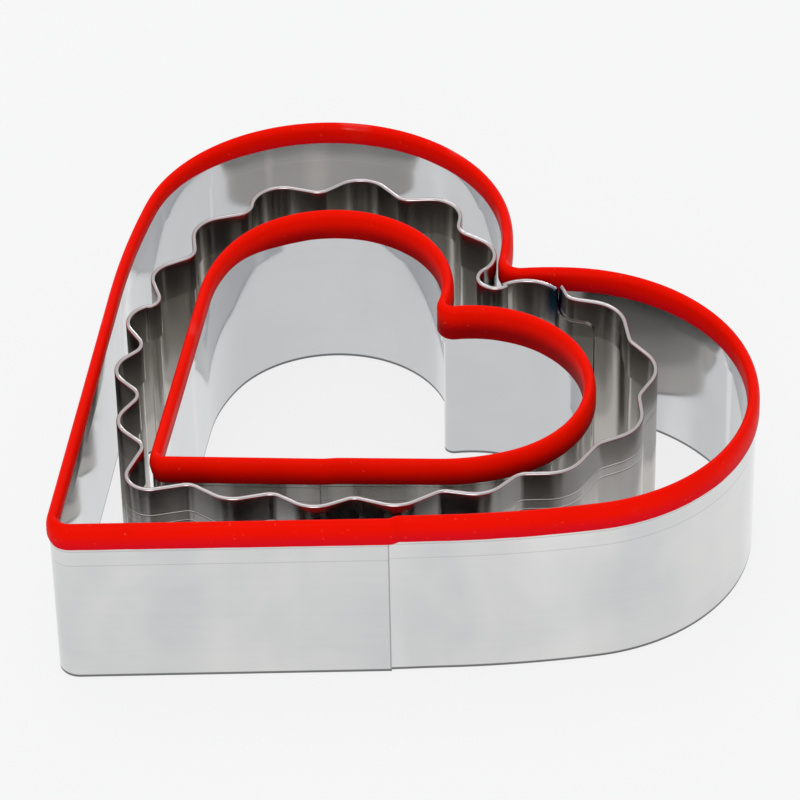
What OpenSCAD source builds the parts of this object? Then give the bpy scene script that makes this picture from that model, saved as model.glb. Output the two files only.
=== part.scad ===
/* [Strip] */
// Thickness of the stainless strip
strip_t = 0.4; // [0.3:0.05:0.6]
// Depth of the hem folded to the inside along the top of the plain cutters
hem_h = 5.4; // [4:0.1:8]
// Length over which the two strip ends overlap
lap_len = 6; // [3:0.5:10]

/* [Grip] */
// Width of the red edge grip
grip_w = 1.5; // [1.4:0.05:2.4]
// Rubber above the folded top of the strip
grip_roof = 0.7; // [0.5:0.05:1.2]
// Free gap between the strip and the slot of the grip
grip_gap = 0.02; // [0.01:0.01:0.04]
// Length over which the grip steps down past the seam
grip_ramp = 0.5; // [0.3:0.1:1.5]

/* [Large heart] */
// Height of the large cutter with its grip, which the other two share
large_h = 25; // [18:0.5:40]
// Angle between the axis and one straight side
large_angle = 41; // [39:0.1:43]
// Straight side, measured from the sharp corner at the tip
large_side = 48.9; // [47:0.1:52]
// Radius of the slight curve above the straight side
large_shoulder_r = 134; // [80:1:200]
// Sweep of that slight curve
large_shoulder_sweep = 8.6; // [7:0.1:10]
// Radius of the lobe
large_lobe_r = 24.8; // [24:0.1:26]
// Sweep of the lobe
large_lobe_sweep = 164.5; // [160:0.1:168]
// Radius of the flank that runs from the lobe down to the cleft
large_inner_r = 40; // [32:1:60]
// Radius of the bend in the cleft
large_cleft_r = 2.2; // [1.6:0.1:3]
// Radius of the bend at the tip
large_tip_r = 2.4; // [1.6:0.1:4]
// Depth of the outer leg of its grip below the top
large_outer_h = 3.4; // [2.5:0.1:4.5]
// Depth of the inner leg of its grip below the top
large_inner_h = 2.9; // [2.2:0.1:4.5]
// Distance from the tip corner to the lap seam along the side
large_seam = 42.4; // [20:0.5:45]

/* [Fluted heart] */
// Depth of its folded top edge
fluted_hem_h = 5.8; // [3:0.1:8]
// Angle between the axis and the side at the tip
fluted_angle = 53.4; // [52:0.1:55]
// How much shorter than the large heart's its straight side is
fluted_side_step = 31.6; // [30:0.1:33.5]
// Radius of the bowed side
fluted_bow_r = 55.4; // [52:0.1:60]
// Sweep of the bowed side
fluted_bow_sweep = 40.9; // [39:0.1:42.5]
// How much smaller than the large heart's its lobe is in radius
fluted_lobe_step = 4; // [3.2:0.1:4.8]
// Sweep of the outside of the lobe
fluted_lobe_sweep = 96.5; // [93:0.1:100]
// Radius of the lobe where it runs down to the cleft
fluted_inner_r = 17.8; // [17:0.1:19]
// Radius of the mean line in the cleft
fluted_cleft_r = 1.7; // [1.5:0.1:2.5]
// Radius of the mean line at the tip
fluted_tip_r = 2.5; // [2:0.1:3]
// Flutes on each bowed side, without the one on the tip
side_flutes = 4; // [3:1:5]
// Flutes round each lobe
lobe_flutes = 5; // [4:1:6]
// Length of the mean line, from the tip, that the flutes of the side share
side_run = 49.3; // [47:0.1:51]
// Length of the mean line that the flute on the tip takes
tip_flute = 13.6; // [11:0.1:15]
// Radius of the crest on the tip
tip_crest_r = 3; // [2.4:0.1:3.6]
// Depth of the flutes from crest to valley
flute_depth = 2.1; // [1.6:0.1:2.8]
// Radius of the crests as a share of the length of one flute
crest_share = 0.39; // [0.3:0.01:0.42]
// Radius of the valleys as a share of that length
valley_share = 0.12; // [0.1:0.01:0.16]

/* [Small heart] */
// Angle between the axis and one straight side
small_angle = 41.8; // [40.5:0.1:43]
// How much shorter than the large heart's its straight side is
small_side_step = 12.9; // [11.5:0.1:14.5]
// Radius of the slight curve above the straight side
small_shoulder_r = 24.7; // [22:0.1:28]
// Sweep of that slight curve
small_shoulder_sweep = 23.4; // [21.5:0.1:25.5]
// How much smaller than the fluted heart's its lobe is in radius
small_lobe_step = 4.9; // [4.2:0.1:5.6]
// Sweep of the outside of the lobe
small_lobe_sweep = 75.4; // [70:0.1:80]
// Radius of the lobe where it runs down to the cleft
small_inner_r = 15.5; // [14.8:0.1:16.8]
// Radius of the bend in the cleft
small_cleft_r = 1.3; // [1.1:0.1:2]
// Radius of the bend at the tip
small_tip_r = 1.8; // [1.4:0.1:3]
// Depth of the outer leg of its grip below the top
small_outer_h = 2.9; // [2.2:0.1:4]
// Depth of the inner leg of its grip below the top
small_inner_h = 4; // [2.8:0.1:5]
// Distance from the tip corner to the lap seam along the side
small_seam = 21.3; // [14:0.5:28]

/* [Placement] */
// Sideways place of the fluted cutter inside the large one
fluted_x = 0.8; // [0.5:0.1:1.1]
// Turn of the fluted cutter about its tip
fluted_turn = 0.2; // [-0.4:0.1:0.8]
// Gap between the fluted cutter and the cleft of the large one
cleft_gap = 0.4; // [0.3:0.05:0.8]
// Sideways place of the small cutter
small_x = -1.4; // [-1.7:0.1:-1]
// Distance of the small cutter's tip corner above the fluted one's
small_rise = 4.8; // [4.4:0.1:5.2]
// Turn of the small cutter about its tip
small_turn = -2.3; // [-3:0.1:-1.5]

/* [Hidden] */
steel_colour = "Gainsboro";
grip_colour = "Red";
// Largest turn between two facets on wide curves and on tight bends
wide_step = 4.5;
tight_step = 12;
tight_below_r = 5;
// Facets round the dome of the grip and round the folded top of the fluted strip
dome_facets = 8;
fold_facets = 6;
// Overlap that keeps a cut clear of the face that it opens
cut = 1;
// Distance that the hem still stands inside the plain strip where it steps at the seam
hem_lip = 0.05;

// The three hearts nest, so the inner two take their heights, sides and lobes from the large one
fluted_h = large_h;
fluted_side = large_side - fluted_side_step;
fluted_lobe_r = large_lobe_r - fluted_lobe_step;
small_h = large_h;
small_side = large_side - small_side_step;
small_lobe_r = fluted_lobe_r - small_lobe_step;
// Sizes of each heart in the order that heart_arcs takes them
large_heart = [
    large_angle, large_side, large_shoulder_r, large_shoulder_sweep, large_lobe_r,
    large_lobe_sweep, large_inner_r, large_cleft_r, large_tip_r
];
small_heart = [
    small_angle, small_side, small_shoulder_r, small_shoulder_sweep, small_lobe_r,
    small_lobe_sweep, small_inner_r, small_cleft_r, small_tip_r
];
fluted_heart = [
    fluted_angle, fluted_side, fluted_bow_r, fluted_bow_sweep, fluted_lobe_r,
    fluted_lobe_sweep, fluted_inner_r, fluted_cleft_r, fluted_tip_r
];

function dir(a) = [cos(a), sin(a)];
function turned(p, a) = [p.x * cos(a) - p.y * sin(a), p.x * sin(a) + p.y * cos(a)];
function rad(a) = a * PI / 180;
function steps(r, sweep) = max(1, ceil(abs(sweep) / (r < tight_below_r ? tight_step : wide_step)));
// The same angle written within half a turn of another one
function near(a, ref) = a - 360 * round((a - ref) / 360);

// Right half of a heart as arcs, from the tip round the lobe to the cleft.
// Each arc is [centre, radius, start, end, side], where side is -1 for the bend that bulges inward.
// The straight side lies between the first arc and the second.
function heart_arcs(h) =
    let (
        angle = h[0], side = h[1], rs = h[2], ss = h[3], rl = h[4], sl = h[5], ri = h[6], rc = h[7], rt = h[8],
        tip = [0, rt / sin(angle)],
        c1 = side * [sin(angle), cos(angle)] - rs * dir(-angle),
        a1 = ss - angle,
        c2 = c1 + (rs - rl) * dir(a1),
        a2 = a1 + sl,
        c3 = c2 + (rl - ri) * dir(a2),
        notch = [0, c3.y + sqrt(pow(ri + rc, 2) - pow(c3.x, 2))],
        a3 = atan2(notch.y - c3.y, -c3.x)
    )
    [
        [tip, rt, -90, -angle, 1],
        [c1, rs, -angle, a1, 1],
        [c2, rl, a1, a2, 1],
        [c3, ri, a2, a3, 1],
        [notch, rc, a3 + 180, 270, -1]
    ];

// A station is [x, y, direction of the outward normal, shift outward]
function arc_stations(p, first) =
    let (n = steps(p[1], p[3] - p[2]))
    [
        for (i = [first:n])
            let (a = p[2] + (p[3] - p[2]) * i / n, q = p[0] + p[1] * dir(a))
            [q.x, q.y, p[4] > 0 ? a : a + 180, 0]
    ];
function side_stations(angle, breaks) =
    [for (b = breaks) [b[0] * sin(angle), b[0] * cos(angle), -angle, b[1]]];
function half_stations(arcs, angle, side, breaks) =
    concat(
        arc_stations(arcs[0], 0),
        side_stations(angle, concat(breaks, [[side, 0]])),
        arc_stations(arcs[1], 1),
        arc_stations(arcs[2], 1),
        arc_stations(arcs[3], 1),
        arc_stations(arcs[4], 1)
    );
// Closes a right half with a mirrored one; the stations on the axis are kept once
function closed(right, left) =
    concat(
        right,
        [for (i = [len(left) - 2:-1:1]) let (s = left[i]) [-s[0], s[1], 180 - s[2], s[3]]]
    );
function place(s, out) = [s[0], s[1]] + (out + s[3]) * dir(s[2]);

// Outline of a plain heart at a distance outside its line, with a list of [distance along the side, shift]
function outline(h, breaks, out) =
    let (arcs = heart_arcs(h))
    [
        for (s = closed(half_stations(arcs, h[0], h[1], breaks), half_stations(arcs, h[0], h[1], [])))
            place(s, out)
    ];

// Skins a profile of [outward, up] points along closed stations
module skin(stations, profile) {
    n = len(stations);
    m = len(profile);
    polyhedron(
        points = [
            for (s = stations, p = profile)
                let (q = place(s, p[0]))
                [q.x, q.y, p[1]]
        ],
        faces = [
            for (i = [0:n - 1], j = [0:m - 1])
                let (k = (i + 1) % n, l = (j + 1) % m)
                for (f = [[i * m + j, i * m + l, k * m + l], [i * m + j, k * m + l, k * m + j]])
                    f
        ],
        convexity = 8
    );
}

// Plain strip bent to a heart; one end laps outside the other at the seam, and the hem is folded inside
module plain_band(h, height, seam) {
    top = height - grip_roof;
    lead = h[8] / tan(h[0]);
    lap = seam - lap_len;
    lap_shift = strip_t * (lap - lead) / (seam - lead);
    hem_end = seam + grip_ramp;
    hem_shift = strip_t - hem_lip;
    difference() {
        linear_extrude(height = top)
            polygon(outline(h, [[seam, strip_t], [seam, 0]], strip_t));
        translate([0, 0, -cut])
            linear_extrude(height = top + 2 * cut)
                polygon(outline(h, [[seam, hem_shift], [hem_end, hem_shift], [hem_end, 0]], -strip_t));
        translate([0, 0, -cut])
            linear_extrude(height = top - hem_h + cut)
                polygon(outline(h, [[lap, lap_shift], [lap, 0]], 0));
    }
}

// Edge grip with a slot over the folded top of the strip
module plain_grip(h, height, outer_h, inner_h, seam) {
    arcs = heart_arcs(h);
    breaks = [[seam, strip_t], [seam + grip_ramp, 0]];
    r = grip_w / 2;
    slot = strip_t + grip_gap;
    slot_top = height - grip_roof + grip_gap;
    profile = concat(
        [[r, height - outer_h]],
        [for (i = [0:dome_facets]) [r * cos(180 * i / dome_facets), height - r + r * sin(180 * i / dome_facets)]],
        [
            [-r, height - inner_h],
            [-slot - hem_lip, height - inner_h],
            [-slot - hem_lip, slot_top],
            [slot, slot_top],
            [slot, height - outer_h]
        ]
    );
    skin(closed(half_stations(arcs, h[0], h[1], breaks), half_stations(arcs, h[0], h[1], [])), profile);
}

// Lengths of the pieces of the fluted mean line, with the straight side after the first arc
function arc_len(p) = p[1] * rad(abs(p[3] - p[2]));
function on_arc(p, u) =
    let (a = p[2] + sign(p[3] - p[2]) * u / p[1] * 180 / PI, q = p[0] + p[1] * dir(a))
    [q.x, q.y, p[4] > 0 ? a : a + 180];
function on_side(angle, s) = [s * sin(angle), s * cos(angle), -angle];
// Point and outward normal at a distance along the mean line from the tip
function on_line(arcs, angle, side, lead, u) =
    let (
        u1 = arc_len(arcs[0]),
        u2 = u1 + side - lead,
        u3 = u2 + arc_len(arcs[1]),
        u4 = u3 + arc_len(arcs[2]),
        u5 = u4 + arc_len(arcs[3])
    )
    u <= u1 ? on_arc(arcs[0], u)
    : u <= u2 ? on_side(angle, lead + u - u1)
    : u <= u3 ? on_arc(arcs[1], u - u2)
    : u <= u4 ? on_arc(arcs[2], u - u3)
    : u <= u5 ? on_arc(arcs[3], u - u4)
    : on_arc(arcs[4], u - u5);

// Bend circles of the flutes: crests and valleys in turn, from the crest on the tip to the valley in the cleft.
// Each is [centre, radius, side], and neighbours are joined by their crossing tangent.
function flute_bends() =
    let (
        arcs = heart_arcs(fluted_heart),
        lead = fluted_tip_r / tan(fluted_angle),
        total = arc_len(arcs[0]) + fluted_side - lead + arc_len(arcs[1]) + arc_len(arcs[2])
            + arc_len(arcs[3]) + arc_len(arcs[4]),
        side_pitch = (side_run - tip_flute / 2) / side_flutes,
        lobe_pitch = (total - side_run) / lobe_flutes
    )
    [
        for (i = [0:2 * (side_flutes + lobe_flutes) + 1])
            let (
                crest = i % 2 == 0,
                past = i / 2 - side_flutes - 0.5,
                u = i == 0 ? 0 : past < 0 ? side_run + past * side_pitch : side_run + past * lobe_pitch,
                q = on_line(arcs, fluted_angle, fluted_side, lead, min(u, total)),
                r = i == 0 ? tip_crest_r
                    : (past < 0 ? side_pitch : lobe_pitch) * (crest ? crest_share : valley_share),
                reach = flute_depth / 2 - r
            )
            [[q[0], q[1]] + (crest ? reach : -reach) * dir(q[2]), r, crest ? 1 : -1]
    ];

// Direction of the outward normal on the straight flank between two neighbouring bends
function flank(a, b) =
    let (
        d = b[0] - a[0],
        spread = acos((a[1] + b[1]) / norm(d)),
        heading = atan2(d.y, d.x)
    )
    a[2] > 0 ? heading - spread : heading - 180 + spread;

function fluted_half(bends) =
    let (last = len(bends) - 1)
    [
        for (i = [0:last])
            let (
                b = bends[i],
                a0 = i == 0 ? -90 : flank(bends[i - 1], b),
                a1 = near(i == last ? 90 : flank(b, bends[i + 1]), a0),
                n = steps(b[1], a1 - a0)
            )
            for (j = [0:n])
                let (a = a0 + (a1 - a0) * j / n, q = b[0] + b[2] * b[1] * dir(a))
                [q.x, q.y, a, 0]
    ];

// The large heart's middle along the axis, which the whole set is centred on
large_arcs = heart_arcs(large_heart);
large_bottom = large_arcs[0][0].y - large_arcs[0][1];
large_top = large_arcs[2][0].y + large_arcs[2][1];
middle = (large_bottom + large_top) / 2;

// The fluted cutter stands against the cleft of the large one: the crest to the left of its own cleft
// comes nearest. The small cutter's place follows the fluted one's.
bends = flute_bends();
near_crest = bends[len(bends) - 2];
touch = [fluted_x, 0] + turned([-near_crest[0].x, near_crest[0].y], fluted_turn);
touch_reach = large_cleft_r + grip_w / 2 + cleft_gap + strip_t + near_crest[1];
fluted_y = large_arcs[4][0].y - touch.y - sqrt(pow(touch_reach, 2) - pow(touch.x, 2));
small_y = fluted_y + small_rise;

// Stands a cutter's tip corner at a place, turned about it
module stand(x, y, turn) {
    translate([x, y - middle, 0])
        rotate([0, 0, turn])
            children();
}

module large_band() {
    color(steel_colour)
        stand(0, 0, 0)
            plain_band(large_heart, large_h, large_seam);
}

module large_grip() {
    color(grip_colour)
        stand(0, 0, 0)
            plain_grip(large_heart, large_h, large_outer_h, large_inner_h, large_seam);
}

module fluted_band() {
    half = fluted_half(bends);
    profile = concat(
        [[strip_t, 0]],
        [
            for (i = [0:fold_facets])
                [strip_t * cos(180 * i / fold_facets), fluted_h - strip_t + strip_t * sin(180 * i / fold_facets)]
        ],
        [
            [-strip_t, fluted_h - fluted_hem_h],
            [0, fluted_h - fluted_hem_h],
            [0, 0]
        ]
    );
    color(steel_colour)
        stand(fluted_x, fluted_y, fluted_turn)
            skin(closed(half, half), profile);
}

module small_band() {
    color(steel_colour)
        stand(small_x, small_y, small_turn)
            plain_band(small_heart, small_h, small_seam);
}

module small_grip() {
    color(grip_colour)
        stand(small_x, small_y, small_turn)
            plain_grip(small_heart, small_h, small_outer_h, small_inner_h, small_seam);
}

large_band();
large_grip();
fluted_band();
small_band();
small_grip();
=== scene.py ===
"""Looks of the nested heart cookie cutters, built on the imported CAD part.

Three cutters stand one inside the other: a large plain one and a small plain one with a red
edge grip, and a fluted one with a bare folded rim between them. Sizes are in millimetres in the
classes below and become metres only where a mesh is made.
"""

import logging
import math
import random
from dataclasses import dataclass
from enum import Enum
from typing import Any, Callable

import bpy
from mathutils import Matrix, Vector


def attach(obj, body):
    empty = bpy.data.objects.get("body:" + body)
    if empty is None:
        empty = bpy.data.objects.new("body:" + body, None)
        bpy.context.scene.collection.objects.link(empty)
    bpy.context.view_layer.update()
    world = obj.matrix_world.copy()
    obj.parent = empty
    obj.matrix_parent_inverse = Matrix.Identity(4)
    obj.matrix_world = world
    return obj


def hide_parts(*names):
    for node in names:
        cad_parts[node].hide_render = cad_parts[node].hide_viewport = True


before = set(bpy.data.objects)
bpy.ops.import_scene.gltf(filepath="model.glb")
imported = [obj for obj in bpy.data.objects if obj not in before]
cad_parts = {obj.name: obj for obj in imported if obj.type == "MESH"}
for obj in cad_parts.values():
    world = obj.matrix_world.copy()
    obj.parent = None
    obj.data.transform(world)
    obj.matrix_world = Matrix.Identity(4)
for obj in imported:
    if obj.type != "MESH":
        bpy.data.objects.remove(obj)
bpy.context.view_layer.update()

log = logging.getLogger("cutters")
MM = 0.001

# Distances below which two points are one: in metres, and on a line in millimetres
MERGE = 2e-6
TINY = 1e-6

# Largest distances and turns between two stations of a line, in millimetres and degrees
SIDE_PITCH = 1.2
ARC_PITCH = 1.0
TIP_PITCH = 0.4
TIP_TURN = 3.0
WIDE_TURN = 4.0
TIGHT_TURN = 7.0
TIGHT_R = 5.0

Point = tuple[float, float]
Triple = tuple[float, float, float]
Shift = Callable[[float], float]


def direction(angle: float) -> Vector:
    """Unit vector at an angle in degrees.

    Args:
        angle: Angle from +X, in degrees.

    Returns:
        The unit vector in the plane.
    """
    return Vector((math.cos(math.radians(angle)), math.sin(math.radians(angle))))


# Lines of the strips


@dataclass(frozen=True)
class Station:
    """One point of a strip's line in plan, with the heading of its outward normal."""

    at: Point
    heading: float

    def moved(self, out: float) -> "Station":
        """The same station at a distance outward."""
        return Station(tuple(Vector(self.at) + out * direction(self.heading)), self.heading)

    def mirrored(self) -> "Station":
        """The station on the other half of the heart."""
        return Station((-self.at[0], self.at[1]), 180 - self.heading)


@dataclass(frozen=True)
class Arc:
    """One arc of a heart's line; inward is true for the bend that bulges into the heart."""

    centre: Vector
    radius: float
    start: float
    end: float
    inward: bool = False

    def length(self) -> float:
        """Length along the arc."""
        return self.radius * math.radians(abs(self.end - self.start))

    def station(self, share: float) -> Station:
        """Station at a share of the arc.

        Args:
            share: From 0 at the start to 1 at the end.

        Returns:
            The station, with its outward heading.
        """
        angle = self.start + (self.end - self.start) * share
        at = self.centre + self.radius * direction(angle)
        return Station(tuple(at), angle + 180 if self.inward else angle)

    def stations(self, reach: float, turn: float) -> list[Station]:
        """Stations after the start of the arc, up to its end.

        Args:
            reach: Largest distance between two stations.
            turn: Largest turn between two stations, in degrees.

        Returns:
            The stations in order.
        """
        bend = abs(self.end - self.start)
        count = max(1, math.ceil(self.length() / reach), math.ceil(bend / turn))
        return [self.station(i / count) for i in range(1, count + 1)]


@dataclass(frozen=True)
class Place:
    """Where a cutter stands in the set."""

    x: float
    y: float
    turn: float

    def matrix(self) -> Matrix:
        """The place as a matrix in millimetres."""
        turn = Matrix.Rotation(math.radians(self.turn), 4, "Z")
        return Matrix.Translation((self.x, self.y, 0)) @ turn


@dataclass(frozen=True)
class HeartLine:
    """The inner face of a plain cutter's strip, as arcs and one straight side for each half.

    The angle is half of the tip's opening, and the side is measured from the tip's corner. The
    sweeps are in degrees, from the straight side over the shoulder and the lobe to the cleft.
    """

    angle: float
    side: float
    shoulder_r: float
    shoulder_sweep: float
    lobe_r: float
    lobe_sweep: float
    inner_r: float
    cleft_r: float
    tip_r: float

    def arcs(self) -> list[Arc]:
        """Arcs of the right half, from the tip round the lobe to the cleft."""
        a = math.radians(self.angle)
        tip = Vector((0, self.tip_r / math.sin(a)))
        side = Vector((math.sin(a), math.cos(a))) * self.side
        shoulder = side - self.shoulder_r * direction(-self.angle)
        up = self.shoulder_sweep - self.angle
        lobe = shoulder + (self.shoulder_r - self.lobe_r) * direction(up)
        over = up + self.lobe_sweep
        inner = lobe + (self.lobe_r - self.inner_r) * direction(over)
        cleft = Vector((0, inner.y + math.sqrt((self.inner_r + self.cleft_r) ** 2 - inner.x**2)))
        down = math.degrees(math.atan2(cleft.y - inner.y, -inner.x))
        return [
            Arc(tip, self.tip_r, -90, -self.angle),
            Arc(shoulder, self.shoulder_r, -self.angle, up),
            Arc(lobe, self.lobe_r, up, over),
            Arc(inner, self.inner_r, over, down),
            Arc(cleft, self.cleft_r, down + 180, 270, True),
        ]

    def lead(self) -> float:
        """Distance from the tip's corner to where the straight side starts."""
        return self.tip_r / math.tan(math.radians(self.angle))

    def on_side(self, distance: float) -> Station:
        """Station on the straight side at a distance from the tip's corner."""
        a = math.radians(self.angle)
        return Station((distance * math.sin(a), distance * math.cos(a)), -self.angle)

    def side_run(self, start: float, end: float, shift: Shift) -> list[Station]:
        """Stations along the straight side of the right half.

        Args:
            start: Distance of the first one from the tip's corner.
            end: Distance of the last one.
            shift: Distance outward as a function of the distance from the corner.

        Returns:
            The stations in order.
        """
        count = max(1, math.ceil((end - start) / SIDE_PITCH))
        distances = [start + (end - start) * i / count for i in range(count + 1)]
        return [self.on_side(s).moved(shift(s)) for s in distances]

    def rise(self, seam: float, height: float) -> Shift:
        """Shift that grows along the straight side, from nothing at its start.

        Args:
            seam: Distance from the tip's corner to the seam.
            height: Shift at the seam.

        Returns:
            The shift as a function of the distance from the corner.
        """
        return lambda s: height * (s - self.lead()) / (seam - self.lead())

    def tip_bend(self) -> list[Station]:
        """Stations of the tip's right half, from the axis to the straight side."""
        arc = self.arcs()[0]
        return [arc.station(0)] + arc.stations(TIP_PITCH, TIP_TURN)

    def beyond_side(self) -> list[Station]:
        """Stations of the right half after the straight side, up to the middle of the cleft."""
        found = []
        for arc in self.arcs()[1:]:
            found += arc.stations(ARC_PITCH, WIDE_TURN if arc.radius > TIGHT_R else TIGHT_TURN)
        return found

    def left_half(self) -> list[Station]:
        """Stations of the left half, from just past the cleft down to just before the tip."""
        side = self.side_run(self.lead(), self.side, lambda s: 0.0)
        right = self.tip_bend() + side[1:] + self.beyond_side()
        return [s.mirrored() for s in reversed(right[1:-1])]

    def round_from(self, start: list[Station], end: list[Station]) -> list[Station]:
        """The line once round.

        Args:
            start: Stations on the right half's straight side, from the seam to its end.
            end: Stations on that side, from its start to the seam.

        Returns:
            The stations from the seam by the cleft and the tip to the seam.
        """
        return start + self.beyond_side() + self.left_half() + self.tip_bend() + end[1:]

    def lapped(self, seam: float, lap: float, strip: float, press: float = 0.1) -> list[Station]:
        """The strip's whole line, from its inner end once round to its outer end at the seam.

        Args:
            seam: Distance from the tip's corner to the outer end.
            lap: Length over which the ends overlap.
            strip: Thickness of the strip, by which the outer end stands out.
            press: Distance by which the inner end is pressed against the outer one.

        Returns:
            The stations of an open line.
        """

        def pressed(s: float) -> float:
            """Shift of the inner end, which fades out past the seam."""
            return press * max(0.0, min(1.0, (seam + lap - s) / lap))

        inner_end = self.side_run(seam - lap, self.side, pressed)
        outer_end = self.side_run(self.lead(), seam, self.rise(seam, strip))
        return self.round_from(inner_end, outer_end)

    def ringed(self, seam: float, ramp: float, step: float, parts: int = 6) -> list[Station]:
        """A closed line for the grip, which steps down past the seam.

        Args:
            seam: Distance from the tip's corner to the strip's outer end.
            ramp: Length of the step.
            step: Height of the step.
            parts: Number of parts in which it goes down.

        Returns:
            The stations of a closed line.
        """
        fall = []
        for i in range(1, parts):
            ease = 0.5 + 0.5 * math.cos(math.pi * i / parts)
            fall.append(self.on_side(seam + ramp * i / parts).moved(step * ease))
        start = self.side_run(seam + ramp, self.side, lambda s: 0.0)
        end = self.side_run(self.lead(), seam, self.rise(seam, step))
        return self.round_from(start, end) + fall


@dataclass(frozen=True)
class Bend:
    """One bend of the fluted strip; its side is 1 for a crest and -1 for a valley."""

    centre: Vector
    radius: float
    side: int

    def station(self, heading: float) -> Station:
        """Station of the bend at a heading of its outward normal."""
        at = self.centre + self.side * self.radius * direction(heading)
        return Station(tuple(at), heading)

    def flank(self, other: "Bend") -> float:
        """Heading of the outward normal on the flat between this bend and the next one."""
        gap = other.centre - self.centre
        spread = math.degrees(math.acos(min(1.0, (self.radius + other.radius) / gap.length)))
        heading = math.degrees(math.atan2(gap.y, gap.x))
        return heading - spread if self.side > 0 else heading - 180 + spread


@dataclass(frozen=True)
class FlutedLine:
    """The inner face of the fluted strip: crests and valleys in turn along a heart's mean line.

    Pairs hold the right half's value and the left half's. A share is a bend's radius over the
    flutes' pitch, and the slack is the largest slip of a bend along the line.
    """

    mean: HeartLine
    side_flutes: int = 4
    lobe_flutes: int = 5
    side_length: float = 49.3
    tip_flute: float = 13.6
    tip_crest_r: float = 3.0
    depths: tuple[float, float] = (1.8, 2.7)
    end_depth: float = 2.1
    crest_shares: tuple[float, float] = (0.42, 0.34)
    valley_shares: tuple[float, float] = (0.2, 0.19)
    slack: float = 0.35
    seed: int = 4

    def on_mean(self, run: float) -> Station:
        """Station of the mean line at a distance from the tip."""
        arcs = self.mean.arcs()
        straight = self.mean.side - self.mean.lead()
        if run <= arcs[0].length():
            return arcs[0].station(run / arcs[0].length())
        run -= arcs[0].length()
        if run <= straight:
            return self.mean.on_side(self.mean.lead() + run)
        run -= straight
        for arc in arcs[1:-1]:
            if run <= arc.length():
                return arc.station(run / arc.length())
            run -= arc.length()
        return arcs[-1].station(min(1.0, run / arcs[-1].length()))

    def bends(self, left: bool) -> list[Bend]:
        """Bends of one half, drawn as the right one, from the tip's crest to the cleft.

        Args:
            left: Whether it is the left half, which was bent deeper and rounder.

        Returns:
            The bends in order.
        """
        chance = random.Random(self.seed + left)
        total = sum(a.length() for a in self.mean.arcs()) + self.mean.side - self.mean.lead()
        last = 2 * (self.side_flutes + self.lobe_flutes) + 1
        side_pitch = (self.side_length - self.tip_flute / 2) / self.side_flutes
        lobe_pitch = (total - self.side_length) / self.lobe_flutes
        found = []
        for i in range(last + 1):
            past = i / 2 - self.side_flutes - 0.5
            pitch = side_pitch if past < 0 else lobe_pitch
            end = i in (0, last)
            slip = 0.0 if end else chance.uniform(-self.slack, self.slack)
            station = self.on_mean(self.side_length + past * pitch + slip if i else 0.0)
            share = (self.valley_shares if i % 2 else self.crest_shares)[left]
            radius = pitch * share if i else self.tip_crest_r
            side = -1 if i % 2 else 1
            depth = self.end_depth if end else self.depths[left]
            centre = Vector(station.at) + side * (depth / 2 - radius) * direction(station.heading)
            found.append(Bend(centre, radius, side))
        return found

    def half(self, left: bool) -> list[Station]:
        """Stations of one half, drawn as the right one, from the tip's crest to the cleft."""
        bends = self.bends(left)
        stations = []
        for i, bend in enumerate(bends):
            start = -90.0 if i == 0 else bends[i - 1].flank(bend)
            end = 90.0 if i == len(bends) - 1 else bend.flank(bends[i + 1])
            end -= 360 * round((end - start) / 360)
            count = max(2, math.ceil(abs(end - start) / TIGHT_TURN))
            stations += [bend.station(start + (end - start) * j / count) for j in range(count + 1)]
        return stations

    def loop(self) -> list[Station]:
        """All stations once round, from the tip by the right lobe, the cleft and the left lobe."""
        return self.half(False) + [s.mirrored() for s in reversed(self.half(True)[1:-1])]

    def opened(self, near: Point) -> list[Station]:
        """The line opened at the point of the right half nearest to a given one.

        Args:
            near: The place of the seam, in the heart's own plan.

        Returns:
            Stations from the seam once round and back to it.
        """
        loop = self.loop()
        following = loop[1:] + loop[:1]
        best, index, share = math.inf, 0, 0.0
        for i, (a, b) in enumerate(zip(loop, following)):
            start, span = Vector(a.at), Vector(b.at) - Vector(a.at)
            if span.length < TINY:
                continue
            along = max(0.0, min(1.0, (Vector(near) - start).dot(span) / span.length_squared))
            gap = (start + along * span - Vector(near)).length
            if gap < best:
                best, index, share = gap, i, along
        at = Vector(loop[index].at).lerp(Vector(following[index].at), share)
        seam = Station(tuple(at), loop[index].heading)
        return [seam] + loop[index + 1 :] + loop[: index + 1] + [seam]


# Node trees


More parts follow.
